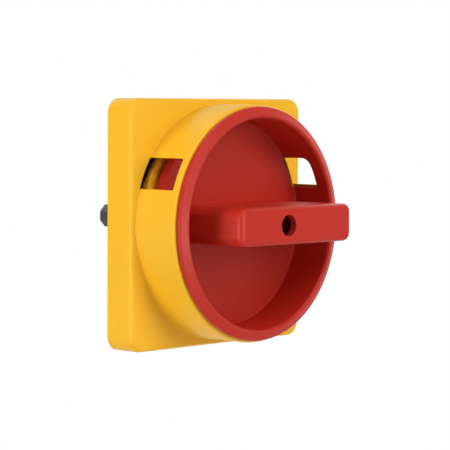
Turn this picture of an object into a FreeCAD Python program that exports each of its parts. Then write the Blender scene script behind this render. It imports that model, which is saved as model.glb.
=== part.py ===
import FreeCAD, Part
import math
import os

from FreeCAD import Vector

# Padlockable door handle of a rotary isolator switch, in millimetres.
# Every piece is drawn lying on its back: the turning axis is Z, z = 0 is the door's face and +Z comes
# out of the door. stand_up() then turns it to the finished frame, where +Z is up and the front is -Y.

# ---- front plate: square tray, round collar, inner ring ----
plate_side = 67.0
plate_depth = 9.0
plate_corner_r = 4.0
plate_edge_r = 1.0
plate_wall = 2.4
face_thickness = 2.4
ledge_width = 0.8
collar_r = 32.0
collar_wall = 1.8
collar_height = 14.0
collar_edge = 0.35
moat_floor_z = 6.0
septum_thickness = 2.0
moat_width = 0.8
ring_wall = 1.6
ring_top_z = 11.8
sill_thickness = 1.0
sill_depth = 3.0
neck_r = 11.0
neck_length = 5.0
neck_chamfer = 0.8
neck_root = 1.0
neck_rim = 1.5
neck_rim_height = 1.0

# ---- padlock windows, cut through collar and handle ----
window_low = 9.65
window_height = 8.2
window_reach = 12.2
window_corner_r = 0.6
window_hood_wall = 1.2
handle_window_reach = 12.4
handle_window_drop = 0.65
handle_window_top_r = 1.9
handle_window_foot_r = 0.5

# ---- handle: dish, rim, grip bar ----
collar_gap = 0.4
rim_gap = 0.3
rim_inset = 0.55
rim_band = 0.75
rim_shoulder = 0.4
rim_height = 2.2
rim_crown = 0.1
drum_wall = 1.2
dish_draft = 0.65
floor_height = 4.0
floor_thickness = 1.9
floor_bevel = 0.5
rim_bevel = 0.45
ring_gap = 0.3
skirt_depth = 1.2
skirt_wall = 1.6
bar_left = 18.65
bar_end_gap = 1.75
bar_width = 10.2
bar_height = 25.4
bar_end_r = 2.0
bar_corner_r = 2.7
bar_edge_r = 1.0
bar_wall = 2.0
bar_core = 9.0
bar_rib = 1.2
screw_recess_r = 2.9

# ---- stem, bearing and detent ----
stem_r = 8.0
running_clearance = 0.05
end_play = 0.05
bush_wall = 0.95
bush_flange_r = 11.6
bush_flange = 0.8
seat_clearance = 0.02
cam_side = 17.0
cam_corner_r = 10.2
spring_thickness = 0.5
spring_height = 2.6
spring_gap = 0.05
spring_half_length = 16.6
spring_hook = 2.4
spring_lift = 0.4
post_length = 3.2
post_depth = 2.0
post_height = 4.8
seal_section = 1.2
seal_z = 1.0

# ---- stop pin and its trough ----
turn_angle = 90.0
stop_angle = -45.0
stop_radius = 20.0
stop_pin_r = 1.5
stop_pin_length = 6.0
stop_boss_r = 2.2
stop_boss_height = 2.0
trough_side_gap = 0.3
trough_end_gap = 0.1
trough_wall = 1.2
trough_depth = 2.4

# ---- driver, shaft and screw on the axis ----
tenon_side = 8.4
tenon_corner_r = 0.6
tenon_clearance = 0.05
web_thickness = 1.8
web_top_z = 14.0
hub_r = 7.4
hub_length = 11.5
hub_chamfer = 0.8
hub_flutes = 8
flute_r = 0.9
shaft_side = 6.3
shaft_chamfer = 1.85
shaft_behind_door = 35.0
shaft_seat = 10.0
shaft_end_chamfer = 0.5
pin_r = 1.25
pin_length = 13.0
pin_place = 6.0
screw_r = 1.5
screw_head_r = 2.5
screw_head = 2.0
screw_length = 10.5
screw_hex = 2.0
screw_hex_depth = 1.2
screw_clearance = 0.2
insert_r = 2.3
insert_length = 7.5
flat_washer_thickness = 0.5
lock_washer_thickness = 0.7
lock_washer_split = 0.5

# ---- retaining parts behind the neck ----
thrust_r = 10.6
thrust_thickness = 0.5
wave_thickness = 0.3
wave_height = 1.0
wave_count = 3
wave_r = 10.2
circlip_r = 9.2
circlip_thickness = 1.0
circlip_groove = 0.6
circlip_gap = 4.0
circlip_lug_r = 1.4
circlip_eye_r = 0.6
stem_tail = 1.4

# ---- mounting plate, its nuts and screws, gasket ----
steel_thickness = 1.5
steel_inset = 1.4
steel_clearance = 0.3
steel_neck_gap = 0.4
hole_spacing = 48.0
nut_thread_r = 1.65
nut_r = 3.4
nut_height = 3.1
nut_shank_r = 2.7
nut_pocket_gap = 0.3
plate_screw_inset = 8.5
plate_screw_r = 1.1
plate_screw_head_r = 2.1
plate_screw_head = 1.2
plate_screw_length = 6.5
boss_r = 2.4
boss_top_z = 9.4
gasket_width = 2.4
gasket_gap = 0.2

# ---- places that follow from the sizes above ----
collar_bore_r = collar_r - collar_wall
collar_top_z = plate_depth + collar_height
ring_r = collar_bore_r - moat_width
ring_bore_r = ring_r - ring_wall
septum_back_z = moat_floor_z - septum_thickness
face_back_z = plate_depth - face_thickness
drum_r = collar_bore_r - collar_gap
dish_r = drum_r - drum_wall
rim_r = collar_r - rim_inset
floor_z = plate_depth + floor_height
floor_back_z = floor_z - floor_thickness
skirt_back_z = floor_back_z - skirt_depth
bar_top_z = plate_depth + bar_height
rim_back_z = collar_top_z + rim_gap
rim_top_z = rim_back_z + rim_height
dish_floor_r = dish_r - dish_draft
bar_right = dish_floor_r - bar_end_gap
bush_bore_r = stem_r + running_clearance
bush_r = bush_bore_r + bush_wall
bush_seat_r = bush_r + seat_clearance
neck_root_r = neck_r + neck_root
neck_top_z = moat_floor_z + neck_rim_height
cam_back_z = neck_top_z + bush_flange + end_play
tenon_top_z = web_top_z - web_thickness - tenon_clearance
circlip_back_z = -neck_length - thrust_thickness - wave_height - circlip_thickness
stem_back_z = circlip_back_z - stem_tail
hub_back_z = stem_back_z - hub_length
shaft_front_z = hub_back_z + shaft_seat
steel_top_z = steel_inset + steel_thickness
tray_half = plate_side / 2 - plate_wall
plate_screw_radius = plate_side / 2 - plate_screw_inset
washer_top_z = web_top_z + flat_washer_thickness + lock_washer_thickness


def cylinder(radius, z_low, z_high, x=0.0, y=0.0):
    return Part.makeCylinder(radius, z_high - z_low, Vector(x, y, z_low))


def tube(outer_r, inner_r, z_low, z_high):
    return cylinder(outer_r, z_low, z_high).cut(cylinder(inner_r, z_low, z_high))


def block(x_low, x_high, y_low, y_high, z_low, z_high):
    return Part.makeBox(x_high - x_low, y_high - y_low, z_high - z_low, Vector(x_low, y_low, z_low))


def rounded_block(x_low, x_high, y_low, y_high, z_low, z_high, corner_r):
    solid = block(x_low, x_high, y_low, y_high, z_low, z_high)
    uprights = [edge for edge in solid.Edges if abs(edge.tangentAt(edge.FirstParameter).z) > 0.99]
    return solid.makeFillet(corner_r, uprights)


def rounded_square(side, z_low, z_high, corner_r):
    half = side / 2
    return rounded_block(-half, half, -half, half, z_low, z_high, corner_r)


def revolved(edges):
    face = Part.Face(Part.Wire(edges))
    return face.revolve(Vector(0, 0, 0), Vector(0, 0, 1), 360)


def line(start, end):
    return Part.makeLine(Vector(start[0], 0, start[1]), Vector(end[0], 0, end[1]))


def arc(start, middle, end):
    points = [Vector(radius, 0, z) for radius, z in (start, middle, end)]
    return Part.Arc(*points).toShape()


def outline(points):
    return [line(points[i], points[(i + 1) % len(points)]) for i in range(len(points))]


def prism(points, z_low, z_high):
    corners = [Vector(x, y, z_low) for x, y in points]
    face = Part.Face(Part.makePolygon(corners + corners[:1]))
    return face.extrude(Vector(0, 0, z_high - z_low))


def corner_places(spacing):
    half = spacing / 2
    return [(sx * half, sy * half) for sx in (-1, 1) for sy in (-1, 1)]


def cross_places(radius):
    return [(radius, 0), (0, radius), (-radius, 0), (0, -radius)]


def fused(solids):
    return solids[0].multiFuse(solids[1:]).removeSplitter() if len(solids) > 1 else solids[0]


def window_band(z_low, z_high, inner_r, outer_r, y_low, y_high):
    """Both windows' room between two radii and two heights, with square corners."""
    span = outer_r + 1
    body = block(-span, span, y_low, y_high, z_low, z_high)
    return body.common(tube(outer_r, inner_r, z_low - 1, z_high + 1))


def window_cutters(z_low, z_high, inner_r, outer_r, drop, top_r, foot_r):
    """Both padlock windows as cutters that stay inside the ring inner_r to outer_r."""
    span = outer_r + 1
    y_low = window_low - drop
    y_high = y_low + window_height
    body = block(-span, span, y_low, y_high, z_low, z_high)
    for y, corner_r in ((y_high, top_r), (y_low, foot_r)):
        front = [edge for edge in body.Edges
                 if abs(edge.tangentAt(edge.FirstParameter).x) > 0.99
                 and edge.CenterOfMass.z > z_high - 0.01 and abs(edge.CenterOfMass.y - y) < 0.01]
        body = body.makeFillet(corner_r, front)
    return body.common(tube(outer_r, inner_r, z_low - 1, z_high + 1))


def soft_front_edge(tray):
    """Rounds the plate's front edge in three flats, which keep its corners light."""
    cut = 0.6 * plate_edge_r
    rim = [edge for edge in tray.Edges if edge.CenterOfMass.z > plate_depth - 0.01]
    tray = tray.makeChamfer(cut, rim)
    flats = [edge for edge in tray.Edges if edge.BoundBox.ZLength < 0.01
             and min(abs(edge.CenterOfMass.z - z) for z in (plate_depth, plate_depth - cut)) < 0.01]
    return tray.makeChamfer(0.3 * cut, flats)


def front_plate():
    tray = rounded_square(plate_side, 0, plate_depth, plate_corner_r)
    tray = soft_front_edge(tray)
    inner_corner_r = plate_corner_r - plate_wall
    tray = tray.cut(rounded_square(2 * tray_half, 0, steel_top_z, inner_corner_r))
    ledge_half = tray_half - ledge_width
    tray = tray.cut(rounded_square(2 * ledge_half, 0, face_back_z, inner_corner_r))
    tray = tray.cut(cylinder(collar_bore_r, 0, plate_depth))

    collar = revolved(outline([
        (collar_bore_r, septum_back_z), (collar_r, septum_back_z),
        (collar_r, collar_top_z), (collar_bore_r, collar_top_z)]))
    lip = [edge for edge in collar.Edges if edge.CenterOfMass.z > collar_top_z - 0.01
           and edge.BoundBox.XLength > 2 * collar_bore_r]
    collar = collar.makeChamfer(collar_edge, lip)
    septum = tube(collar_bore_r, bush_seat_r, septum_back_z, moat_floor_z)
    ring = tube(ring_r, ring_bore_r, moat_floor_z, ring_top_z)
    neck = revolved(outline([
        (bush_seat_r, septum_back_z), (neck_root_r, septum_back_z), (neck_root_r, neck_root),
        (neck_r, 0), (neck_r, neck_chamfer - neck_length),
        (neck_r - neck_chamfer, -neck_length), (bush_seat_r, -neck_length)]))
    neck_seat = tube(neck_r + neck_rim, bush_seat_r, moat_floor_z, neck_top_z)

    bosses = [cylinder(boss_r, steel_top_z, boss_top_z, x, y) for x, y in cross_places(plate_screw_radius)]
    window_high = window_low + window_height
    sill_r = ring_r - sill_depth
    hoods = window_band(moat_floor_z, plate_depth, sill_r - window_hood_wall, ring_r,
                        window_low - window_hood_wall, window_high + window_hood_wall)
    plate = fused([tray, collar, septum, ring, neck, neck_seat, stop_trough(), hoods]
                  + spring_posts() + bosses)
    for x, y in cross_places(plate_screw_radius):
        plate = plate.cut(cylinder(plate_screw_r, 0, steel_inset + plate_screw_length + 0.5, x, y))
    pocket_top_z = steel_top_z + nut_height + nut_pocket_gap
    for x, y in corner_places(hole_spacing):
        plate = plate.cut(cylinder(nut_r + nut_pocket_gap, 0, pocket_top_z, x, y))
    window_top_z = plate_depth + window_reach
    plate = plate.cut(window_band(septum_back_z - 0.1, plate_depth - sill_thickness, sill_r, collar_r,
                                  window_low, window_high))
    plate = plate.cut(window_band(moat_floor_z, plate_depth + 0.1, ring_r, collar_r,
                                  window_low, window_high))
    plate = plate.cut(window_band(plate_depth, ring_top_z + 0.1, ring_bore_r - 0.1, ring_r + moat_width,
                                  window_low, window_high))
    return plate.cut(window_cutters(plate_depth, window_top_z, ring_r + moat_width / 2, collar_r + 1,
                                    0, window_corner_r, window_corner_r))


def stop_trough():
    """Arc-shaped trough on the plate's floor; its two ends stop the handle's pin."""
    inner_r = stop_radius - stop_pin_r - trough_side_gap
    outer_r = stop_radius + stop_pin_r + trough_side_gap
    top_z = moat_floor_z + trough_depth
    wall = tube(outer_r + trough_wall, inner_r - trough_wall, moat_floor_z, top_z)
    slot = tube(outer_r, inner_r, moat_floor_z, top_z)
    end_angle = math.degrees((stop_pin_r + trough_end_gap) / stop_radius)
    wall_angle = math.degrees(trough_wall / stop_radius)
    first = stop_angle - turn_angle - end_angle
    last = stop_angle + end_angle
    outside = wedge(first - wall_angle, last + wall_angle, outer_r + 5, moat_floor_z, top_z)
    inside = wedge(first, last, outer_r + 5, moat_floor_z, top_z)
    return wall.common(outside).cut(slot.common(inside))


def wedge(first, last, radius, z_low, z_high):
    solid = Part.makeCylinder(radius, z_high - z_low, Vector(0, 0, z_low), Vector(0, 0, 1), last - first)
    solid.rotate(Vector(0, 0, 0), Vector(0, 0, 1), first)
    return solid


def spring_face_y():
    return cam_side / 2 + spring_gap


def spring_posts():
    """Four posts that carry the two leaf springs near their ends."""
    inner_y = spring_face_y() + spring_thickness + spring_gap
    outer_x = spring_half_length - spring_thickness - spring_gap
    posts = []
    for sx in (-1, 1):
        for sy in (-1, 1):
            xs = sorted((sx * outer_x, sx * (outer_x - post_length)))
            ys = sorted((sy * inner_y, sy * (inner_y + post_depth)))
            posts.append(rounded_block(xs[0], xs[1], ys[0], ys[1], moat_floor_z,
                                       moat_floor_z + post_height, spring_thickness))
    return posts


def detent_spring(side):
    """Spring steel leaf that bears on one flat of the cam; both ends hook round a post."""
    low = spring_face_y()
    high = low + spring_thickness
    x_out = spring_half_length
    x_in = x_out - spring_thickness
    top = high + spring_hook
    points = [(-x_out, low), (x_out, low), (x_out, top), (x_in, top), (x_in, high),
              (-x_in, high), (-x_in, top), (-x_out, top)]
    z_low = cam_back_z + spring_lift
    leaf = prism([(x, side * y) for x, y in points], z_low, z_low + spring_height)
    bends = [edge for edge in leaf.Edges
             if abs(edge.tangentAt(edge.FirstParameter).z) > 0.99
             and abs(abs(edge.CenterOfMass.x) - x_out) < 0.01
             and abs(abs(edge.CenterOfMass.y) - low) < 0.01]
    return leaf.makeFillet(spring_thickness, bends)


def rotor():
    band_end = (rim_r, rim_back_z + rim_band)
    shoulder = (rim_r - rim_shoulder, band_end[1] + rim_shoulder)
    crown = (dish_r + 1.5 * rim_bevel, rim_top_z)
    middle = ((shoulder[0] + crown[0]) / 2 + rim_crown, (shoulder[1] + crown[1]) / 2 + rim_crown)
    inner_edge = (dish_r, rim_top_z - rim_bevel)
    skirt_r = ring_bore_r - ring_gap
    skirt_z = ring_top_z + ring_gap
    profile = [
        line((0, floor_back_z), (skirt_r - skirt_wall, floor_back_z)),
        line((skirt_r - skirt_wall, floor_back_z), (skirt_r - skirt_wall, skirt_back_z)),
        line((skirt_r - skirt_wall, skirt_back_z), (skirt_r, skirt_back_z)),
        line((skirt_r, skirt_back_z), (skirt_r, skirt_z)),
        line((skirt_r, skirt_z), (drum_r, skirt_z)),
        line((drum_r, skirt_z), (drum_r, rim_back_z)),
        line((drum_r, rim_back_z), (rim_r, rim_back_z)),
        line((rim_r, rim_back_z), band_end),
        line(band_end, shoulder),
        line(shoulder, middle),
        line(middle, crown),
        line(crown, inner_edge),
        line(inner_edge, (dish_floor_r, floor_z + floor_bevel)),
        line((dish_floor_r, floor_z + floor_bevel), (dish_floor_r - floor_bevel, floor_z)),
        line((dish_floor_r - floor_bevel, floor_z), (0, floor_z)),
        line((0, floor_z), (0, floor_back_z))]
    dish = revolved(profile)
    dish = dish.cut(window_cutters(skirt_back_z - 0.1, plate_depth + handle_window_reach,
                                   dish_floor_r - 0.15, drum_r + 1, handle_window_drop,
                                   handle_window_top_r, handle_window_foot_r))
    stem = cylinder(stem_r, stem_back_z, floor_z)
    cam = rounded_cam()
    boss = stop_boss(floor_back_z - stop_boss_height, floor_z, stop_boss_r)
    handle = fused([dish, grip_bar(), stem, cam, boss])
    handle = handle.cut(bar_pockets())
    handle = handle.cut(cylinder(screw_recess_r, web_top_z, bar_top_z + 1))
    handle = handle.cut(cylinder(screw_r + screw_clearance, web_top_z - web_thickness - 1, web_top_z + 1))
    socket_top_z = web_top_z - web_thickness
    handle = handle.cut(rounded_square(tenon_side + 2 * tenon_clearance, stem_back_z - 1,
                                       socket_top_z, tenon_corner_r))
    handle = handle.cut(circlip_groove_cutter())
    handle = handle.cut(seal_groove_cutter())
    return handle.cut(stop_boss(floor_back_z - stop_boss_height - 1, pin_top_z(), stop_pin_r + seat_clearance))


def grip_bar():
    """Grip bar: rounded outline from the front, rounded ends from the side, soft front edges."""
    half = bar_width / 2
    plan = rounded_block(-bar_left, bar_right, -half, half, floor_back_z, bar_top_z, bar_corner_r)
    side = block(-bar_left, bar_right, -half, half, floor_back_z, bar_top_z)
    ends = [edge for edge in side.Edges if edge.CenterOfMass.z > bar_top_z - 0.01
            and abs(edge.tangentAt(edge.FirstParameter).y) > 0.99]
    bar = plan.common(side.makeFillet(bar_end_r, ends))
    long_edges = [edge for edge in bar.Edges if edge.CenterOfMass.z > bar_top_z - 0.01
                  and abs(edge.tangentAt(edge.FirstParameter).x) > 0.99]
    return bar.makeFillet(bar_edge_r, long_edges)


def bar_pockets():
    """Two pockets cored out of the bar from behind, with a rib across the long one."""
    half = bar_width / 2 - bar_wall
    top_z = bar_top_z - bar_wall
    left = rounded_block(-bar_left + bar_wall, -bar_core, -half, half, floor_back_z - 1, top_z, 1)
    right = rounded_block(bar_core, bar_right - bar_wall, -half, half, floor_back_z - 1, top_z, 1)
    rib_x = (bar_core + bar_right - bar_wall) / 2
    rib = block(rib_x - bar_rib / 2, rib_x + bar_rib / 2, -half, half, floor_z, top_z)
    return left.fuse(right.cut(rib))


def rounded_cam():
    half = cam_side / 2
    square = block(-half, half, -half, half, cam_back_z, floor_z)
    return square.common(cylinder(cam_corner_r, cam_back_z, floor_z))


def stop_place():
    turn = math.radians(stop_angle)
    return stop_radius * math.cos(turn), stop_radius * math.sin(turn)


def stop_boss(z_low, z_high, radius):
    x, y = stop_place()
    return cylinder(radius, z_low, z_high, x, y)


def pin_bottom_z():
    return moat_floor_z + 0.4


def pin_top_z():
    return pin_bottom_z() + stop_pin_length


def stop_pin():
    pin = stop_boss(pin_bottom_z(), pin_top_z() - seat_clearance, stop_pin_r)
    ends = [edge for edge in pin.Edges if edge.BoundBox.ZLength < 0.01]
    return pin.makeChamfer(0.3, ends)


def seal_groove_cutter():
    groove_r = stem_r - seal_section
    return tube(stem_r + 1, groove_r, seal_z - seal_section / 2 - 0.1, seal_z + seal_section / 2 + 0.1)


def stem_o_ring():
    """Rubber ring with an eight-sided section, which stands for the round one."""
    section_r = seal_section / 2
    points = []
    for number in range(8):
        turn = math.radians(22.5 + 45 * number)
        reach = section_r / math.cos(math.radians(22.5))
        points.append((stem_r - section_r + reach * math.cos(turn), seal_z + reach * math.sin(turn)))
    return revolved(outline(points))


def circlip_groove_cutter():
    low = circlip_back_z - 0.05
    return tube(stem_r + 1, stem_r - circlip_groove, low, low + circlip_thickness + 0.1)


def bearing_bush():
    return revolved(outline([
        (bush_bore_r, -neck_length + 0.5), (bush_r, -neck_length + 0.5), (bush_r, neck_top_z),
        (bush_flange_r, neck_top_z), (bush_flange_r, neck_top_z + bush_flange),
        (bush_bore_r, neck_top_z + bush_flange)]))


def drive_hub():
    tenon = rounded_square(tenon_side, stem_back_z, tenon_top_z, tenon_corner_r)
    top = [edge for edge in tenon.Edges if edge.CenterOfMass.z > tenon_top_z - 0.01]
    tenon = tenon.makeChamfer(0.4, top)
    body = cylinder(hub_r, hub_back_z, stem_back_z)
    rear = [edge for edge in body.Edges if edge.CenterOfMass.z < hub_back_z + 0.01
            and edge.BoundBox.XLength > 1]
    body = body.makeChamfer(hub_chamfer, rear)
    flutes = []
    for number in range(hub_flutes):
        turn = 2 * math.pi * (number + 0.5) / hub_flutes
        flutes.append(cylinder(flute_r, hub_back_z, stem_back_z - 1.5,
                               hub_r * math.cos(turn), hub_r * math.sin(turn)))
    hub = tenon.fuse(body).cut(Part.makeCompound(flutes))
    hub = hub.cut(shaft_bar(shaft_side + 2 * tenon_clearance, hub_back_z - 1, shaft_front_z + 0.1))
    insert_low = tenon_top_z - insert_length
    hub = hub.cut(cylinder(insert_r + seat_clearance, insert_low, tenon_top_z))
    tip_z = washer_top_z - screw_length - 0.5
    hub = hub.cut(cylinder(screw_r + screw_clearance, tip_z, insert_low))
    return hub.cut(cross_pin(pin_r + seat_clearance, 2 * hub_r + 2))


def shaft_bar(across, z_low, z_high):
    """Square bar with its long edges chamfered to eight sides."""
    half = across / 2
    flat = half - shaft_chamfer
    points = [(flat, half), (-flat, half), (-half, flat), (-half, -flat),
              (-flat, -half), (flat, -half), (half, -flat), (half, flat)]
    return prism(points, z_low, z_high)


def cross_pin(radius, length):
    z = hub_back_z + pin_place
    return Part.makeCylinder(radius, length, Vector(-length / 2, 0, z), Vector(1, 0, 0))


def drive_shaft():
    shaft = shaft_bar(shaft_side, -shaft_behind_door, shaft_front_z)
    end = [edge for edge in shaft.Edges if edge.CenterOfMass.z < -shaft_behind_door + 0.01]
    shaft = shaft.makeChamfer(shaft_end_chamfer, end)
    return shaft.cut(cross_pin(pin_r + seat_clearance, 2 * hub_r))


def shaft_pin():
    pin = cross_pin(pin_r, pin_length)
    ends = [edge for edge in pin.Edges if edge.BoundBox.XLength < 0.01]
    return pin.makeChamfer(0.3, ends)


def hub_insert():
    low = tenon_top_z - insert_length
    body = tube(insert_r, screw_r + seat_clearance, low, tenon_top_z)
    middle = (low + tenon_top_z) / 2
    return body.cut(tube(insert_r + 1, insert_r - 0.35, middle - 0.6, middle + 0.6))


def handle_screw():
    head = cylinder(screw_head_r, washer_top_z, washer_top_z + screw_head)
    top = [edge for edge in head.Edges if edge.CenterOfMass.z > washer_top_z + screw_head - 0.01
           and edge.BoundBox.XLength > 1]
    head = head.makeChamfer(0.4, top)
    shank = cylinder(screw_r, washer_top_z - screw_length, washer_top_z)
    tip = [edge for edge in shank.Edges if edge.CenterOfMass.z < washer_top_z - screw_length + 0.01
           and edge.BoundBox.XLength > 1]
    shank = shank.makeChamfer(0.4, tip)
    corner_r = screw_hex / math.sqrt(3)
    corners = [(corner_r * math.cos(math.radians(60 * k)), corner_r * math.sin(math.radians(60 * k)))
               for k in range(6)]
    top_z = washer_top_z + screw_head
    return head.fuse(shank).cut(prism(corners, top_z - screw_hex_depth, top_z + 1))


def flat_washer():
    return tube(screw_head_r, screw_r + 0.1, web_top_z, web_top_z + flat_washer_thickness)


def lock_washer():
    low = web_top_z + flat_washer_thickness
    ring = tube(screw_head_r, screw_r + 0.1, low, low + lock_washer_thickness)
    split = block(screw_r * 0.5, screw_head_r + 1, -lock_washer_split / 2, lock_washer_split / 2,
                  low - 1, low + lock_washer_thickness + 1)
    return ring.cut(split)


def thrust_washer():
    return tube(thrust_r, bush_bore_r, -neck_length - thrust_thickness, -neck_length)


def wave_washer():
    """Washer with three waves: bent strips between two heights, lofted round the stem."""
    top = -neck_length - thrust_thickness
    middle = top - wave_height / 2
    swing = (wave_height - wave_thickness) / 2 - seat_clearance
    wires = []
    steps = 5 * wave_count
    for radius in (wave_r, bush_bore_r):
        for offset in (-wave_thickness / 2, wave_thickness / 2):
            points = []
            for number in range(2 * steps):
                turn = 2 * math.pi * number / (2 * steps)
                z = middle + offset + swing * math.cos(wave_count * turn)
                points.append(Vector(radius * math.cos(turn), radius * math.sin(turn), z))
            wires.append(Part.makePolygon(points + points[:1]))
    outer_low, outer_high, inner_low, inner_high = wires
    faces = [Part.makeRuledSurface(outer_low, outer_high), Part.makeRuledSurface(inner_low, inner_high),
             Part.makeRuledSurface(outer_low, inner_low), Part.makeRuledSurface(outer_high, inner_high)]
    shell = Part.makeShell([face for surface in faces for face in surface.Faces])
    shell.sewShape()
    solid = Part.makeSolid(shell)
    if solid.Volume < 0:
        solid.reverse()
    return solid


def retaining_ring():
    """Circlip: ring in the stem's groove with two eyed lugs at its gap."""
    low = circlip_back_z
    high = low + circlip_thickness
    inner_r = stem_r - circlip_groove + seat_clearance
    ring = tube(circlip_r, inner_r, low, high)
    lug_turn = math.asin((circlip_gap / 2 + circlip_lug_r) / circlip_r)
    lugs = []
    eyes = []
    for side in (-1, 1):
        x = side * circlip_r * math.sin(lug_turn)
        y = circlip_r * math.cos(lug_turn)
        lugs.append(cylinder(circlip_lug_r, low, high, x, y))
        eyes.append(cylinder(circlip_eye_r, low, high, x, y))
    ring = fused([ring] + lugs)
    ring = ring.cut(cylinder(inner_r, low, high))
    ring = ring.cut(block(-circlip_gap / 2, circlip_gap / 2, 0, circlip_r + 3, low, high))
    return ring.cut(Part.makeCompound(eyes))


def mounting_plate():
    side = 2 * (tray_half - steel_clearance)
    corner_r = plate_corner_r - plate_wall
    plate = rounded_square(side, steel_inset, steel_top_z, corner_r)
    plate = plate.cut(cylinder(neck_root_r + steel_neck_gap, steel_inset, steel_top_z))
    for x, y in corner_places(hole_spacing):
        plate = plate.cut(cylinder(nut_shank_r + seat_clearance, steel_inset, steel_top_z, x, y))
    for x, y in cross_places(plate_screw_radius):
        plate = plate.cut(cylinder(plate_screw_r + screw_clearance, steel_inset, steel_top_z, x, y))
    return plate


def clinch_nuts():
    nuts = []
    for x, y in corner_places(hole_spacing):
        nut = cylinder(nut_r, steel_top_z, steel_top_z + nut_height, x, y)
        nut = nut.fuse(cylinder(nut_shank_r, steel_inset, steel_top_z, x, y)).removeSplitter()
        nuts.append(nut.cut(cylinder(nut_thread_r, steel_inset, steel_top_z + nut_height, x, y)))
    return Part.makeCompound(nuts)


def plate_screws():
    screws = []
    for x, y in cross_places(plate_screw_radius):
        head = cylinder(plate_screw_head_r, steel_inset - plate_screw_head, steel_inset, x, y)
        rear = [edge for edge in head.Edges
                if edge.CenterOfMass.z < steel_inset - plate_screw_head + 0.01 and edge.BoundBox.XLength > 1]
        head = head.makeChamfer(0.4, rear)
        shank = cylinder(plate_screw_r - seat_clearance, steel_inset, steel_inset + plate_screw_length, x, y)
        screw = head.fuse(shank)
        for turn in (0, 90):
            slot = block(-1.2, 1.2, -0.25, 0.25, -1, steel_inset - plate_screw_head + 0.6)
            slot.rotate(Vector(0, 0, 0), Vector(0, 0, 1), turn)
            slot.translate(Vector(x, y, 0))
            screw = screw.cut(slot)
        screws.append(screw)
    return Part.makeCompound(screws)


def plate_gasket():
    outer = 2 * (tray_half - gasket_gap)
    inner = outer - 2 * gasket_width
    corner_r = plate_corner_r - plate_wall
    seal = rounded_square(outer, 0, steel_inset, corner_r)
    return seal.cut(rounded_square(inner, 0, steel_inset, corner_r))


def stand_up(shape):
    shape.rotate(Vector(0, 0, 0), Vector(1, 0, 0), 90)
    return shape


pieces = {
    "front_plate": front_plate(),
    "rotor": rotor(),
    "bearing_bush": bearing_bush(),
    "detent_spring_upper": detent_spring(1),
    "detent_spring_lower": detent_spring(-1),
    "stop_pin": stop_pin(),
    "stem_o_ring": stem_o_ring(),
    "drive_hub": drive_hub(),
    "hub_insert": hub_insert(),
    "drive_shaft": drive_shaft(),
    "shaft_pin": shaft_pin(),
    "handle_screw": handle_screw(),
    "lock_washer": lock_washer(),
    "flat_washer": flat_washer(),
    "thrust_washer": thrust_washer(),
    "wave_washer": wave_washer(),
    "retaining_ring": retaining_ring(),
    "mounting_plate": mounting_plate(),
    "clinch_nuts": clinch_nuts(),
    "plate_screws": plate_screws(),
    "plate_gasket": plate_gasket(),
}

os.makedirs("parts", exist_ok=True)
for name, shape in pieces.items():
    print(name, "solids", len(shape.Solids), "valid", shape.isValid(), "volume", round(shape.Volume, 1))
    stand_up(shape).exportStep("parts/" + name + ".step")
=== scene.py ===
import math

import bmesh
import bpy
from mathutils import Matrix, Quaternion, Vector


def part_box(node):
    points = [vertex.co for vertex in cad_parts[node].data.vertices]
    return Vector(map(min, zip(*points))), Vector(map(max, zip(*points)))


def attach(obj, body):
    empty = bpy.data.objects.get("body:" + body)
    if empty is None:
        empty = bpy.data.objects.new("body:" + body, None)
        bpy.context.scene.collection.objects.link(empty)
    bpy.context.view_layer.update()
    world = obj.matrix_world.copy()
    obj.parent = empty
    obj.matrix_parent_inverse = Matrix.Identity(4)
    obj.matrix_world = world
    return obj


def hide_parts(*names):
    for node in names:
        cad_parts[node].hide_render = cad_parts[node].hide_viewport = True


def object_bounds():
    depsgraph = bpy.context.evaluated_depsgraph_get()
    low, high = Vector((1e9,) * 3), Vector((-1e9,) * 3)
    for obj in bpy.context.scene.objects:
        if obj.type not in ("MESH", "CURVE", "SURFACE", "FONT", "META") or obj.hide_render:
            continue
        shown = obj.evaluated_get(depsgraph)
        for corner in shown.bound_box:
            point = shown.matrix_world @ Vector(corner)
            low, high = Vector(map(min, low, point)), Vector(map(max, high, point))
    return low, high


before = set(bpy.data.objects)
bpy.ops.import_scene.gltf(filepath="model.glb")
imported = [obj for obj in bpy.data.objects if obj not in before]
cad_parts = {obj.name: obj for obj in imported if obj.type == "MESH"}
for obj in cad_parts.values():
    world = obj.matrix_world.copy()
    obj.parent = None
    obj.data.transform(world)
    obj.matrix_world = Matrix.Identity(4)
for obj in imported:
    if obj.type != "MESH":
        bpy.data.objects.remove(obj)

cad_low, cad_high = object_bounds()
mm = 0.001

# ---- Camera ----
# A long lens stands far back on the handle's left, a little above its axis, and looks at the middle of
# the plate.
camera_turn = math.radians(47.24)
camera_rise = math.radians(3.32)
camera_roll = math.radians(0.3)
camera_distance = 569.2 * mm
camera_aim = Vector((2.47, -9.0, -1.03)) * mm

camera = bpy.data.objects.new("camera", bpy.data.cameras.new("camera"))
bpy.context.scene.collection.objects.link(camera)
bpy.context.scene.camera = camera
camera.data.sensor_width = 36.0
camera.data.lens = 166.24
camera.data.clip_start = 0.01
camera.data.clip_end = 20.0
away = Vector((-math.sin(camera_turn) * math.cos(camera_rise),
               -math.cos(camera_turn) * math.cos(camera_rise), math.sin(camera_rise)))
camera.location = camera_aim + away * camera_distance
camera.rotation_mode = "QUATERNION"
camera.rotation_quaternion = (-away).to_track_quat("-Z", "Y") @ Quaternion((0, 0, 1), camera_roll)

# ---- Light and floor ----
# Broad soft boxes on the left, in front and above give the light, and weaker ones fill the right side
# and the back. Two more, below the part, give only the sheen on its edges, so that no upper face glares.
# The part hangs on a door, so the pale floor lies well below it.
floor_drop = 140 * mm
floor_half = 6.0
floor_grey = 0.9
ambient = 0.03


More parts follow.
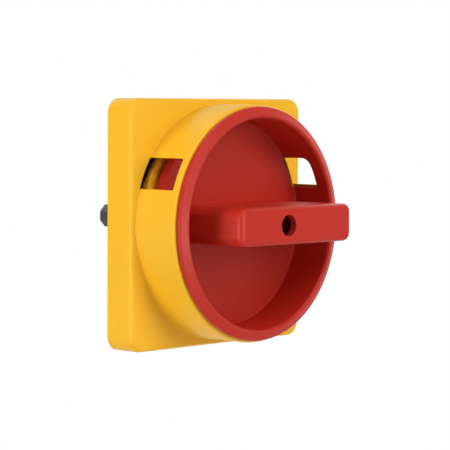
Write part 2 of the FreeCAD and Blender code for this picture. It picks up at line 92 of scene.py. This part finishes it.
def soft_box(name, left, up, size, watts, diffuse=True, gloss=True):
    """A round soft box a metre away, turned left of straight ahead and up by angles in degrees.

    It gives light where diffuse is set, and a sheen where gloss is set.
    """
    light = bpy.data.objects.new(name, bpy.data.lights.new(name, "AREA"))
    bpy.context.scene.collection.objects.link(light)
    light.data.shape = "DISK"
    light.data.size = size
    light.data.energy = watts
    left, up = math.radians(left), math.radians(up)
    light.location = (-math.sin(left) * math.cos(up), -math.cos(left) * math.cos(up), math.sin(up))
    light.rotation_mode = "QUATERNION"
    light.rotation_quaternion = (-light.location).to_track_quat("-Z", "Y")
    light.visible_diffuse = diffuse
    light.visible_glossy = gloss


def meets_white(tree):
    """Socket that is 1 for camera, glossy and transmission rays, which meet plain white, and else 0."""
    path = tree.nodes.new("ShaderNodeLightPath")
    meets = path.outputs["Is Camera Ray"]
    for kind in ("Is Glossy Ray", "Is Transmission Ray"):
        either = tree.nodes.new("ShaderNodeMath")
        either.operation = "MAXIMUM"
        tree.links.new(meets, either.inputs[0])
        tree.links.new(path.outputs[kind], either.inputs[1])
        meets = either.outputs[0]
    return meets


def white_over(tree, lit, white, output):
    """Sends the white shader to the rays that meet white, and the lit one to the others."""
    blend = tree.nodes.new("ShaderNodeMixShader")
    tree.links.new(meets_white(tree), blend.inputs[0])
    tree.links.new(lit.outputs[0], blend.inputs[1])
    tree.links.new(white.outputs[0], blend.inputs[2])
    tree.links.new(blend.outputs[0], tree.nodes.new(output).inputs[0])


soft_box("side_box", left=103, up=9, size=0.6, watts=6.4, gloss=False)
soft_box("side_shine", left=90, up=-13, size=0.4, watts=18, diffuse=False)
soft_box("left_box", left=96, up=42, size=0.5, watts=1.1)
soft_box("front_box", left=-8, up=17, size=0.6, watts=4.4, gloss=False)
soft_box("front_shine", left=0, up=-12, size=0.4, watts=11, diffuse=False)
soft_box("upper_box", left=18, up=46, size=0.6, watts=5.2)
soft_box("right_box", left=-60, up=22, size=0.5, watts=0.5)
soft_box("back_box", left=190, up=35, size=0.8, watts=2.2)
soft_box("far_side_box", left=-104, up=22, size=0.6, watts=1.8)

world = bpy.data.worlds.new("studio")
bpy.context.scene.world = world
world.use_nodes = True
world.node_tree.nodes.clear()
room = world.node_tree.nodes.new("ShaderNodeBackground")
room.inputs["Color"].default_value = (1, 1, 1, 1)
room.inputs["Strength"].default_value = ambient
white = world.node_tree.nodes.new("ShaderNodeBackground")
white.inputs["Color"].default_value = (1, 1, 1, 1)
white.inputs["Strength"].default_value = 1.0
white_over(world.node_tree, room, white, "ShaderNodeOutputWorld")

floor_shape = bmesh.new()
bmesh.ops.create_grid(floor_shape, x_segments=1, y_segments=1, size=floor_half)
bmesh.ops.translate(floor_shape, vec=(0, 0, cad_low.z - floor_drop), verts=floor_shape.verts)
floor_mesh = bpy.data.meshes.new("floor")
floor_shape.to_mesh(floor_mesh)
floor_shape.free()
floor = bpy.data.objects.new("floor", floor_mesh)
bpy.context.scene.collection.objects.link(floor)
paint = bpy.data.materials.new("floor_white")
paint.use_nodes = True
paint.node_tree.nodes.clear()
matt = paint.node_tree.nodes.new("ShaderNodeBsdfDiffuse")
matt.inputs["Color"].default_value = (floor_grey, floor_grey, floor_grey, 1)
glow = paint.node_tree.nodes.new("ShaderNodeEmission")
glow.inputs["Strength"].default_value = 1.0
white_over(paint.node_tree, matt, glow, "ShaderNodeOutputMaterial")
floor_mesh.materials.append(paint)

bpy.context.scene.view_settings.view_transform = "Standard"

# ---- Front plate ----
# One moulding of signal yellow plastic: a square tray with a round collar on its face. Inside the
# collar are a moat, the inner ring and the floor that the handle turns over; behind is a round neck.
yellow = (0.79, 0.414, 0.016)
plate_side = cad_high.x - cad_low.x
plate_depth = 9.0 * mm
plate_corner_r = 4.0 * mm
plate_edge_r = 1.0 * mm
tray_wall = 2.4 * mm
tray_depth = 2.9 * mm
ledge_width = 0.8 * mm
pocket_depth = 3.7 * mm
face_back = tray_depth + pocket_depth
collar_r = 32.0 * mm
collar_bore_r = 30.2 * mm
collar_top = -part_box("front_plate")[0].y
collar_foot_r = 0.3 * mm
collar_lip_r = 0.7 * mm
collar_inner_lip_r = 0.3 * mm
moat_floor = 6.0 * mm
moat_back = 4.0 * mm
ring_r = 29.4 * mm
ring_bore_r = 27.8 * mm
ring_top = 11.8 * mm
ring_lip_r = 0.2 * mm
neck_r = 11.0 * mm
neck_length = 5.0 * mm
neck_chamfer = 0.8 * mm
neck_root = 1.0 * mm
neck_rim_r = 12.5 * mm
neck_rim_top = 7.0 * mm
bush_seat_r = 9.02 * mm
window_low = 9.65 * mm
window_height = 8.2 * mm
window_top = 21.2 * mm
window_corner_r = 0.6 * mm
sill_r = 26.4 * mm
sill_back = 8.0 * mm
hood_wall = 1.2 * mm
hood_back = 5.0 * mm
hood_front_r = 29.0 * mm
sharp_r = 0.1 * mm
overcut = 0.1 * mm
near = 0.02 * mm


def moulded_plastic(name, colour, roughness=0.42, grain=0.12, shade=0.03, specular=0.16):
    """Eroded-mould plastic: fine satin grain, faint clouding of colour and gloss."""
    made = bpy.data.materials.new(name)
    made.use_nodes = True
    nodes, links = made.node_tree.nodes, made.node_tree.links
    surface = nodes["Principled BSDF"]
    surface.inputs["Specular IOR Level"].default_value = specular
    place = nodes.new("ShaderNodeTexCoord")
    cloud = nodes.new("ShaderNodeTexNoise")
    cloud.inputs["Scale"].default_value = 55
    cloud.inputs["Detail"].default_value = 3
    links.new(place.outputs["Object"], cloud.inputs["Vector"])
    tint = nodes.new("ShaderNodeMix")
    tint.data_type = "RGBA"
    tint.inputs["A"].default_value = tuple(c * (1 - shade) for c in colour) + (1,)
    tint.inputs["B"].default_value = tuple(min(c * (1 + shade), 1) for c in colour) + (1,)
    links.new(cloud.outputs["Fac"], tint.inputs["Factor"])
    links.new(tint.outputs["Result"], surface.inputs["Base Color"])
    gloss = nodes.new("ShaderNodeMapRange")
    gloss.inputs["To Min"].default_value = roughness - 0.05
    gloss.inputs["To Max"].default_value = roughness + 0.06
    links.new(cloud.outputs["Fac"], gloss.inputs["Value"])
    links.new(gloss.outputs["Result"], surface.inputs["Roughness"])
    pits = nodes.new("ShaderNodeTexNoise")
    pits.inputs["Scale"].default_value = 4200
    pits.inputs["Detail"].default_value = 2
    links.new(place.outputs["Object"], pits.inputs["Vector"])
    relief = nodes.new("ShaderNodeBump")
    relief.inputs["Strength"].default_value = grain
    relief.inputs["Distance"].default_value = 0.03 * mm
    links.new(pits.outputs["Fac"], relief.inputs["Height"])
    links.new(relief.outputs["Normal"], surface.inputs["Normal"])
    return made


def block(size, centre):
    """A plain block as a new shape."""
    shape = bmesh.new()
    bmesh.ops.create_cube(shape, size=1)
    bmesh.ops.scale(shape, vec=size, verts=shape.verts)
    bmesh.ops.translate(shape, vec=centre, verts=shape.verts)
    return shape


def round_edges(shape, edges, radius, segments):
    """Rounds the edges to the radius, in the given number of segments."""
    bmesh.ops.bevel(shape, geom=edges, offset=radius, segments=segments, profile=0.5,
                    affect="EDGES", material=-1)


def corner(centre_r, centre_out, radius, start, end, steps=5):
    """Points round a corner, as distances from the axis and in front of the door.

    The angles are in degrees: at 0 a point lies outwards of the corner's centre, and at 90 in front.
    """
    points = []
    for step in range(steps + 1):
        turn = math.radians(start + (end - start) * step / steps)
        points.append((centre_r + radius * math.cos(turn), centre_out + radius * math.sin(turn)))
    return points


def spin_round(shape, profile, steps=160, place=(0, 0)):
    """Spins a profile round the turning axis, or round a line beside it, into the given shape."""
    across, up = place
    line = [shape.verts.new((across + radius, -out, up)) for radius, out in profile]
    rim = [shape.edges.new(pair) for pair in zip(line, line[1:])]
    bmesh.ops.spin(shape, geom=line + rim, cent=(across, 0, up), axis=(0, 1, 0),
                   angle=2 * math.pi, steps=steps, use_merge=True)
    bmesh.ops.remove_doubles(shape, verts=shape.verts, dist=0.0005 * mm)


def bare_object(name, shape):
    """Makes an object from the shape, with its faces turned outwards."""
    bmesh.ops.recalc_face_normals(shape, faces=shape.faces)
    mesh = bpy.data.meshes.new(name)
    shape.to_mesh(mesh)
    shape.free()
    made = bpy.data.objects.new(name, mesh)
    bpy.context.scene.collection.objects.link(made)
    return made


def add_piece(name, shape, body, material):
    """Makes a piece of the object, which rides on its body."""
    piece = bare_object(name, shape)
    piece.data.materials.append(material)
    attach(piece, body)
    return piece


def smooth_to_crease(piece, crease=32):
    """Smooth shading that breaks where two faces meet at more than the crease angle."""
    shape = bmesh.new()
    shape.from_mesh(piece.data)
    for face in shape.faces:
        face.smooth = True
    for edge in shape.edges:
        edge.smooth = len(edge.link_faces) == 2 and edge.calc_face_angle() < math.radians(crease)
    shape.to_mesh(piece.data)
    shape.free()


def carve(piece, tool, how="DIFFERENCE"):
    """Cuts the tool from the piece, or joins it on, and takes the tool away."""
    step = piece.modifiers.new("carve", "BOOLEAN")
    step.object = tool
    step.operation = how
    step.solver = "MANIFOLD"
    graph = bpy.context.evaluated_depsgraph_get()
    cut = bpy.data.meshes.new_from_object(piece.evaluated_get(graph))
    piece.modifiers.clear()
    piece.data = cut
    bpy.data.objects.remove(tool)


def window_tool(side, inner_r, outer_r, back, front, corner_r, spare=0, drop=0, low_corner_r=None):
    """Cutter for one padlock window: its near and far walls follow the round wall that it cuts.

    It is larger by spare above and below, and lies lower by drop. Its front edges are rounded while it
    is a plain block one metre wide, and then its two walls are brought to their radii.
    """
    low, tall = window_low - spare - drop, window_height + 2 * spare
    shape = block((1, front - back, tall), (0, -(front + back) / 2, low + tall / 2))
    for upper, radius in ((True, corner_r), (False, low_corner_r or corner_r)):
        edges = [edge for edge in shape.edges
                 if all(abs(v.co.y + front) < near for v in edge.verts)
                 and abs(edge.verts[0].co.x - edge.verts[1].co.x) > 0.5
                 and (edge.verts[0].co.z > low + tall / 2) == upper]
        round_edges(shape, edges, radius, segments=8)
    slices = 16
    for number in range(1, slices):
        height = low + tall * number / slices
        bmesh.ops.bisect_plane(shape, geom=shape.verts[:] + shape.edges[:] + shape.faces[:],
                               plane_co=(0, 0, height), plane_no=(0, 0, 1))
    for vert in shape.verts:
        radius = outer_r if vert.co.x > 0 else inner_r
        vert.co.x = side * math.sqrt(radius ** 2 - vert.co.z ** 2)
    return bare_object("window_tool", shape)


# The tray: a rounded block, open in the middle of its face, and hollowed from behind in two steps with
# a ledge between them.
yellow_plastic = moulded_plastic("yellow_plastic", yellow)
shape = block((plate_side, plate_depth, plate_side), (0, -plate_depth / 2, 0))
uprights = [edge for edge in shape.edges
            if abs(edge.verts[0].co.y - edge.verts[1].co.y) > plate_depth / 2]
round_edges(shape, uprights, plate_corner_r, segments=12)
shape.faces.ensure_lookup_table()
face = max(shape.faces, key=lambda f: -f.normal.y * f.calc_area())
round_edges(shape, list(face.edges), plate_edge_r, segments=5)
face = max(shape.faces, key=lambda f: -f.normal.y * f.calc_area())
back = max(shape.faces, key=lambda f: f.normal.y * f.calc_area())
bmesh.ops.delete(shape, geom=[face], context="FACES_ONLY")
for wall, depth in ((tray_wall, tray_depth), (ledge_width, pocket_depth)):
    bmesh.ops.inset_region(shape, faces=[back], thickness=wall, use_even_offset=True)
    grown = bmesh.ops.extrude_face_region(shape, geom=[back])
    bmesh.ops.delete(shape, geom=[back], context="FACES_ONLY")
    back = [item for item in grown["geom"] if isinstance(item, bmesh.types.BMFace)][0]
    bmesh.ops.translate(shape, vec=(0, -depth, 0), verts=back.verts)
bmesh.ops.delete(shape, geom=[back], context="FACES_ONLY")

# The round middle, from the collar's foot over its lip, the moat and the ring to the neck, and back
# out to the tray. Two rows of faces join it to the tray's open edges, in front and behind.
spin_round(shape, (
    corner(collar_r + collar_foot_r, plate_depth + collar_foot_r, collar_foot_r, 270, 180)
    + corner(collar_r - collar_lip_r, collar_top - collar_lip_r, collar_lip_r, 0, 90)
    + corner(collar_bore_r + collar_inner_lip_r, collar_top - collar_inner_lip_r, collar_inner_lip_r,
             90, 180, 3)
    + [(collar_bore_r, moat_floor), (ring_r, moat_floor)]
    + corner(ring_r - ring_lip_r, ring_top - ring_lip_r, ring_lip_r, 0, 90, 3)
    + corner(ring_bore_r + ring_lip_r, ring_top - ring_lip_r, ring_lip_r, 90, 180, 3)
    + [(ring_bore_r, moat_floor), (neck_rim_r, moat_floor), (neck_rim_r, neck_rim_top),
       (bush_seat_r, neck_rim_top), (bush_seat_r, -neck_length), (neck_r - neck_chamfer, -neck_length),
       (neck_r, neck_chamfer - neck_length), (neck_r, 0), (neck_r + neck_root, neck_root),
       (neck_r + neck_root, moat_back), (collar_r, moat_back), (collar_r, face_back)]))
for out in (plate_depth, face_back):
    open_edges = [edge for edge in shape.edges if edge.is_boundary
                  and all(abs(v.co.y + out) < near for v in edge.verts)]
    bmesh.ops.bridge_loops(shape, edges=open_edges)
front_plate = add_piece("yellow_front_plate", shape, "housing", yellow_plastic)

# Each window: a hood on the floor inside the ring, the hollow behind its sill, and the openings
# through the ring and the collar.
moat_r = (ring_r + collar_bore_r) / 2
for side in (-1, 1):
    hood = window_tool(side, sill_r - hood_wall, hood_front_r, hood_back, plate_depth, sharp_r, hood_wall)
    carve(front_plate, hood, "UNION")
    for inner_r, outer_r, low_out, high_out, corner_r in (
            (sill_r, collar_r, moat_back - overcut, sill_back, sharp_r),
            (ring_r, collar_r, sill_back - overcut, plate_depth + overcut, sharp_r),
            (ring_bore_r - overcut, moat_r, plate_depth, ring_top + 2 * overcut, sharp_r),
            (moat_r, plate_side / 2, plate_depth, window_top, window_corner_r)):
        carve(front_plate, window_tool(side, inner_r, outer_r, low_out, high_out, corner_r))
smooth_to_crease(front_plate)
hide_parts("front_plate")

# ---- Handle ----
# One moulding of signal red plastic: a dish with a rolled rim over the collar, a grip bar across it
# and a stem behind. Two windows in its wall line up with the collar's when the switch is off.
red = (0.44, 0.019, 0.009)
dish_floor = 13.0 * mm
dish_floor_back = 11.1 * mm
dish_foot_r = 28.05 * mm
dish_foot_round_r = 0.6 * mm
dish_mouth_r = 28.3 * mm
dish_r = 29.8 * mm
dish_back = 12.1 * mm
rim_r = 31.45 * mm
rim_back_out = 23.3 * mm
rim_front_out = 25.5 * mm
rim_round_r = 1.0 * mm
rim_slope = 0.8 * mm
rim_edge_r = 0.6 * mm
rim_chamfer = 0.15 * mm
skirt_r = 27.5 * mm
skirt_bore_r = 25.9 * mm
skirt_back = 9.9 * mm
stem_r = 8.0 * mm
stem_bore_r = 6.2 * mm
stem_bore_end = 12.2 * mm
stem_length = 8.9 * mm
groove_r = 7.4 * mm
groove_front = 6.45 * mm
groove_back = 7.55 * mm
wall_window_inner_r = 27.3 * mm
wall_window_outer_r = 30.6 * mm
wall_window_back = 9.7 * mm
wall_window_top = 21.4 * mm
wall_window_drop = 0.65 * mm
wall_window_corner_r = 1.9 * mm
wall_window_low_corner_r = 0.4 * mm
bar_left = 18.65 * mm
bar_right = 26.2 * mm
bar_half_width = 5.1 * mm
bar_foot_out = 12.5 * mm
bar_front_out = -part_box("rotor")[0].y
bar_corner_r = 2.7 * mm
bar_end_r = 2.0 * mm
bar_edge_r = 1.0 * mm
bar_wall = 2.0 * mm
screw_recess_r = 2.9 * mm
screw_recess_floor = 14.0 * mm
screw_recess_cut = 25.0 * mm
hollow_width = 14.0 * mm
hollow_height = 7.4 * mm
hollow_back = 14.2 * mm

# The dish, the skirt that runs inside the plate's ring, and the stem with the retaining ring's groove.
red_plastic = moulded_plastic("red_plastic", red, roughness=0.42, specular=0.17)
shape = bmesh.new()
spin_round(shape, (
    [(0, dish_floor)]
    + corner(dish_foot_r - dish_foot_round_r, dish_floor + dish_foot_round_r, dish_foot_round_r, 270, 357)
    + corner(dish_mouth_r + rim_round_r, rim_front_out - rim_round_r, rim_round_r, 180, 95, 7)
    + corner(rim_r - rim_edge_r, rim_front_out - rim_slope - rim_edge_r, rim_edge_r, 78, 0)
    + [(rim_r, rim_back_out + rim_chamfer), (rim_r - rim_chamfer, rim_back_out), (dish_r, rim_back_out),
       (dish_r, dish_back), (skirt_r, dish_back), (skirt_r, skirt_back), (skirt_bore_r, skirt_back),
       (skirt_bore_r, dish_floor_back), (stem_r, dish_floor_back), (stem_r, -groove_front),
       (groove_r, -groove_front), (groove_r, -groove_back), (stem_r, -groove_back),
       (stem_r, -stem_length), (stem_bore_r, -stem_length), (stem_bore_r, stem_bore_end),
       (0, stem_bore_end)]))
handle = add_piece("red_handle", shape, "handle", red_plastic)
for side in (-1, 1):
    carve(handle, window_tool(side, wall_window_inner_r, wall_window_outer_r, wall_window_back,
                              wall_window_top, wall_window_corner_r, drop=wall_window_drop,
                              low_corner_r=wall_window_low_corner_r))

# The grip bar, whose front edges are rounded more across its ends than along its sides.
shape = block((bar_left + bar_right, bar_front_out - bar_foot_out, 2 * bar_half_width),
              ((bar_right - bar_left) / 2, -(bar_front_out + bar_foot_out) / 2, 0))
uprights = [edge for edge in shape.edges
            if abs(edge.verts[0].co.y - edge.verts[1].co.y) > (bar_front_out - bar_foot_out) / 2]
round_edges(shape, uprights, bar_corner_r, segments=8)
weight = shape.edges.layers.float.new("bevel_weight_edge")
for edge in shape.edges:
    if all(v.co.y < -bar_front_out + near for v in edge.verts):
        along = abs((edge.verts[0].co - edge.verts[1].co).normalized().x)
        edge[weight] = 1 - along * (1 - bar_edge_r / bar_end_r)
bar = bare_object("bar_tool", shape)
soften = bar.modifiers.new("soften", "BEVEL")
soften.limit_method = "WEIGHT"
soften.width = bar_end_r
soften.segments = 6
bar.data = bpy.data.meshes.new_from_object(bar.evaluated_get(bpy.context.evaluated_depsgraph_get()))
bar.modifiers.clear()
carve(handle, bar, "UNION")

# The screw's round recess goes in from the front, and opens into a hollow inside the bar.
shape = bmesh.new()
bmesh.ops.create_cone(shape, cap_ends=True, segments=64, radius1=screw_recess_r, radius2=screw_recess_r,
                      depth=screw_recess_cut)
bmesh.ops.rotate(shape, cent=(0, 0, 0), matrix=Quaternion((1, 0, 0), math.radians(90)).to_matrix(),
                 verts=shape.verts)
bmesh.ops.translate(shape, vec=(0, -(screw_recess_floor + screw_recess_cut / 2), 0), verts=shape.verts)
carve(handle, bare_object("recess_tool", shape))
hollow_front = bar_front_out - bar_wall
hollow = block((hollow_width, hollow_front - hollow_back, hollow_height),
               (0, -(hollow_front + hollow_back) / 2, 0))
carve(handle, bare_object("hollow_tool", hollow))
smooth_to_crease(handle)
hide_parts("rotor")

# ---- Mounting plate ----
# Pressed from 1.5 mm steel sheet and zinc plated, so the lines of the rolling still show under the
# plating. It lies on the tray's ledge and takes the door screws' pull.
steel_back_out = 1.4 * mm
steel_front_out = 2.9 * mm


def bare_metal(name, colour, roughness, marks=(1, 1, 1), turned=False, tone=0.12):
    """Metal with fine working marks: marks stretches them, and turned lays them round the axis."""
    made = bpy.data.materials.new(name)
    made.use_nodes = True
    nodes, links = made.node_tree.nodes, made.node_tree.links
    surface = nodes["Principled BSDF"]
    surface.inputs["Metallic"].default_value = 1.0
    place = nodes.new("ShaderNodeTexCoord").outputs["Object"]
    if turned:
        across = nodes.new("ShaderNodeVectorMath")
        across.operation = "MULTIPLY"
        across.inputs[1].default_value = (1, 0, 1)
        links.new(place, across.inputs[0])
        radius = nodes.new("ShaderNodeVectorMath")
        radius.operation = "LENGTH"
        links.new(across.outputs["Vector"], radius.inputs[0])
        along = nodes.new("ShaderNodeSeparateXYZ")
        links.new(place, along.inputs[0])
        lathe = nodes.new("ShaderNodeCombineXYZ")
        links.new(radius.outputs["Value"], lathe.inputs["X"])
        links.new(along.outputs["Y"], lathe.inputs["Y"])
        place = lathe.outputs[0]
    stretch = nodes.new("ShaderNodeMapping")
    stretch.inputs["Scale"].default_value = marks
    links.new(place, stretch.inputs["Vector"])
    lines = nodes.new("ShaderNodeTexNoise")
    lines.inputs["Scale"].default_value = 2600
    lines.inputs["Detail"].default_value = 4
    links.new(stretch.outputs[0], lines.inputs["Vector"])
    cloud = nodes.new("ShaderNodeTexNoise")
    cloud.inputs["Scale"].default_value = 110
    cloud.inputs["Detail"].default_value = 5
    links.new(stretch.outputs[0], cloud.inputs["Vector"])
    tint = nodes.new("ShaderNodeMix")
    tint.data_type = "RGBA"
    tint.inputs["A"].default_value = tuple(c * (1 - tone) for c in colour) + (1,)
    tint.inputs["B"].default_value = tuple(min(c * (1 + tone), 1) for c in colour) + (1,)
    links.new(cloud.outputs["Fac"], tint.inputs["Factor"])
    links.new(tint.outputs["Result"], surface.inputs["Base Color"])
    gloss = nodes.new("ShaderNodeMapRange")
    gloss.inputs["From Min"].default_value = 0.3
    gloss.inputs["From Max"].default_value = 0.7
    gloss.inputs["To Min"].default_value = roughness - 0.08
    gloss.inputs["To Max"].default_value = roughness + 0.1
    links.new(lines.outputs["Fac"], gloss.inputs["Value"])
    links.new(gloss.outputs["Result"], surface.inputs["Roughness"])
    relief = nodes.new("ShaderNodeBump")
    relief.inputs["Strength"].default_value = 0.25
    relief.inputs["Distance"].default_value = 0.01 * mm
    links.new(lines.outputs["Fac"], relief.inputs["Height"])
    links.new(relief.outputs["Normal"], surface.inputs["Normal"])
    return made


def give_finish(material, *names):
    """Gives the material to parts whose shape stays as it is."""
    for name in names:
        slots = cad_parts[name].data.materials
        slots.clear()
        slots.append(material)


zinc_sheet = bare_metal("zinc_plated_sheet", colour=(0.50, 0.52, 0.55), roughness=0.38,
                        marks=(0.03, 1, 1), tone=0.16)
give_finish(zinc_sheet, "mounting_plate")

# ---- Clinch nuts ----
# Four M4 press nuts, turned from free-cutting steel and zinc plated. They are pressed into the steel
# plate from the front, and the screws through the door reach into their threads from behind.
nut_spacing = 48.0 * mm
nut_places = [(x * nut_spacing / 2, z * nut_spacing / 2) for x in (-1, 1) for z in (-1, 1)]
nut_r = 3.4 * mm
nut_shank_r = 2.7 * mm
nut_front_out = 6.0 * mm
nut_chamfer = 0.25 * mm
nut_mouth_r = 1.9 * mm
nut_mouth_depth = 0.2 * mm
nut_entry_r = 2.0 * mm
nut_entry_depth = 0.1 * mm
nut_thread_root_r = 1.98 * mm
nut_thread_crest_r = 1.66 * mm
nut_thread_pitch = 0.7 * mm


def thread_points(root_r, crest_r, low, high, pitch, crest_at=0.15, root_at=0.6):
    """Points up a thread seen in section: the crest of each turn, and its root further up."""
    points = []
    for turn in range(int((high - low) / pitch)):
        points += [(crest_r, low + (turn + crest_at) * pitch), (root_r, low + (turn + root_at) * pitch)]
    return points


zinc_turned = bare_metal("zinc_plated_screws", colour=(0.56, 0.58, 0.61), roughness=0.30)
nut_profile = (
    [(nut_entry_r, steel_back_out)]
    + thread_points(nut_thread_root_r, nut_thread_crest_r, steel_back_out + nut_entry_depth,
                    nut_front_out, nut_thread_pitch)
    + [(nut_thread_crest_r, nut_front_out - nut_mouth_depth), (nut_mouth_r, nut_front_out),
       (nut_r - nut_chamfer, nut_front_out), (nut_r, nut_front_out - nut_chamfer),
       (nut_r, steel_front_out), (nut_shank_r, steel_front_out), (nut_shank_r, steel_back_out),
       (nut_entry_r, steel_back_out)])
shape = bmesh.new()
for place in nut_places:
    spin_round(shape, nut_profile, steps=40, place=place)
clinch_nuts = add_piece("clinch_nut_set", shape, "housing", zinc_turned)
smooth_to_crease(clinch_nuts)
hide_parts("clinch_nuts")

# ---- Plate screws ----
# Four zinc plated self-tapping screws with pan heads and cross recesses. They hold the steel plate in
# the tray until the door screws take over.
screw_inset = 8.5 * mm
screw_ring = plate_side / 2 - screw_inset
screw_places = [(screw_ring, 0), (0, screw_ring), (-screw_ring, 0), (0, -screw_ring)]
head_r = 2.1 * mm
head_crown = [(0, 0.2 * mm), (0.8 * mm, 0.23 * mm), (1.4 * mm, 0.36 * mm), (1.85 * mm, 0.62 * mm),
              (head_r, 1.0 * mm)]
shank_r = 1.05 * mm
shank_front_out = 3.0 * mm
screw_thread_root_r = 0.8 * mm
screw_thread_back_out = 3.1 * mm
screw_thread_front_out = 7.3 * mm
screw_thread_pitch = 0.8 * mm
screw_tip = [(0.6 * mm, 7.6 * mm), (0, 7.9 * mm)]
recess_length = 2.3 * mm
recess_width = 0.5 * mm
recess_taper = 0.7
recess_floor = 1.0 * mm
recess_cut = 1.6 * mm

screw_profile = (
    head_crown + [(head_r, steel_back_out), (shank_r, steel_back_out), (shank_r, shank_front_out)]
    + thread_points(screw_thread_root_r, shank_r, screw_thread_back_out, screw_thread_front_out,
                    screw_thread_pitch)
    + screw_tip)
shape = bmesh.new()
for place in screw_places:
    spin_round(shape, screw_profile, steps=40, place=place)
plate_screws = add_piece("plate_screw_set", shape, "housing", zinc_turned)
for across, up in screw_places:
    for wide, tall in ((recess_length, recess_width), (recess_width, recess_length)):
        shape = block((wide, recess_cut, tall), (0, 0, 0))
        deep_end = [vert for vert in shape.verts if vert.co.y < 0]
        bmesh.ops.scale(shape, vec=(recess_taper, 1, recess_taper), verts=deep_end)
        bmesh.ops.translate(shape, vec=(across, recess_cut / 2 - recess_floor, up), verts=shape.verts)
        carve(plate_screws, bare_object("driver_tool", shape))
smooth_to_crease(plate_screws)
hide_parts("plate_screws")

# ---- Gasket and stem ring ----
# Moulded black rubber: a square gasket between the steel plate's edge and the door, and a ring that
# seals the handle's stem. Rubber is matt, with a faint pale bloom.
rubber = moulded_plastic("black_rubber", colour=(0.022, 0.022, 0.023), roughness=0.72, grain=0.5,
                         shade=0.25, specular=0.3)
give_finish(rubber, "plate_gasket", "stem_o_ring")

# ---- Bush, washers and retaining ring ----
# A flanged bush of natural acetal lines the neck. Behind it a steel washer and a wave spring take up
# the play, and a blued spring steel ring in the stem's groove holds them.
natural_acetal = moulded_plastic("natural_acetal", colour=(0.78, 0.76, 0.70), roughness=0.36,
                                 grain=0.06, specular=0.4)
give_finish(natural_acetal, "bearing_bush")
ground_steel = bare_metal("ground_steel", colour=(0.50, 0.50, 0.51), roughness=0.26, turned=True)
give_finish(ground_steel, "thrust_washer")
blued_steel = bare_metal("blued_spring_steel", colour=(0.21, 0.22, 0.25), roughness=0.30, turned=True,
                         tone=0.25)
give_finish(blued_steel, "wave_washer", "retaining_ring")

# ---- Stop pin ----
# A ground steel pin in the back of the handle's dish. It runs in a curved trough in the plate, and the
# trough's ends stop it after a quarter turn.
give_finish(ground_steel, "stop_pin")

# ---- Detent springs ----
# Two leaves of blued strip steel, each hooked round two posts on the plate's floor. They press on the
# flats of the stem's square cam, which holds the handle at either end of its turn.
blued_strip = bare_metal("blued_strip_steel", colour=(0.21, 0.22, 0.25), roughness=0.32,
                         marks=(0.05, 1, 1), tone=0.25)
give_finish(blued_strip, "detent_spring_upper", "detent_spring_lower")

# ---- Driver and shaft ----
# Both are moulded in black nylon filled with glass, so their skin is satin with a slight mottle. A
# steel pin across the driver goes through the shaft and holds it in.
filled_nylon = moulded_plastic("black_filled_nylon", colour=(0.030, 0.032, 0.033), roughness=0.48,
                               grain=0.35, shade=0.18, specular=0.3)
give_finish(filled_nylon, "drive_hub", "drive_shaft")
give_finish(ground_steel, "shaft_pin")

# ---- Handle screw and insert ----
# A black socket screw, with a split and a flat washer under its head, goes through the web in the stem
# into the turned brass insert of the driver, and pulls the driver up.
black_steel = bare_metal("black_oxide_steel", colour=(0.055, 0.055, 0.06), roughness=0.42, turned=True,
                         tone=0.2)
give_finish(black_steel, "handle_screw", "lock_washer")
give_finish(ground_steel, "flat_washer")
turned_brass = bare_metal("turned_brass", colour=(0.70, 0.48, 0.20), roughness=0.28, turned=True)
give_finish(turned_brass, "hub_insert")
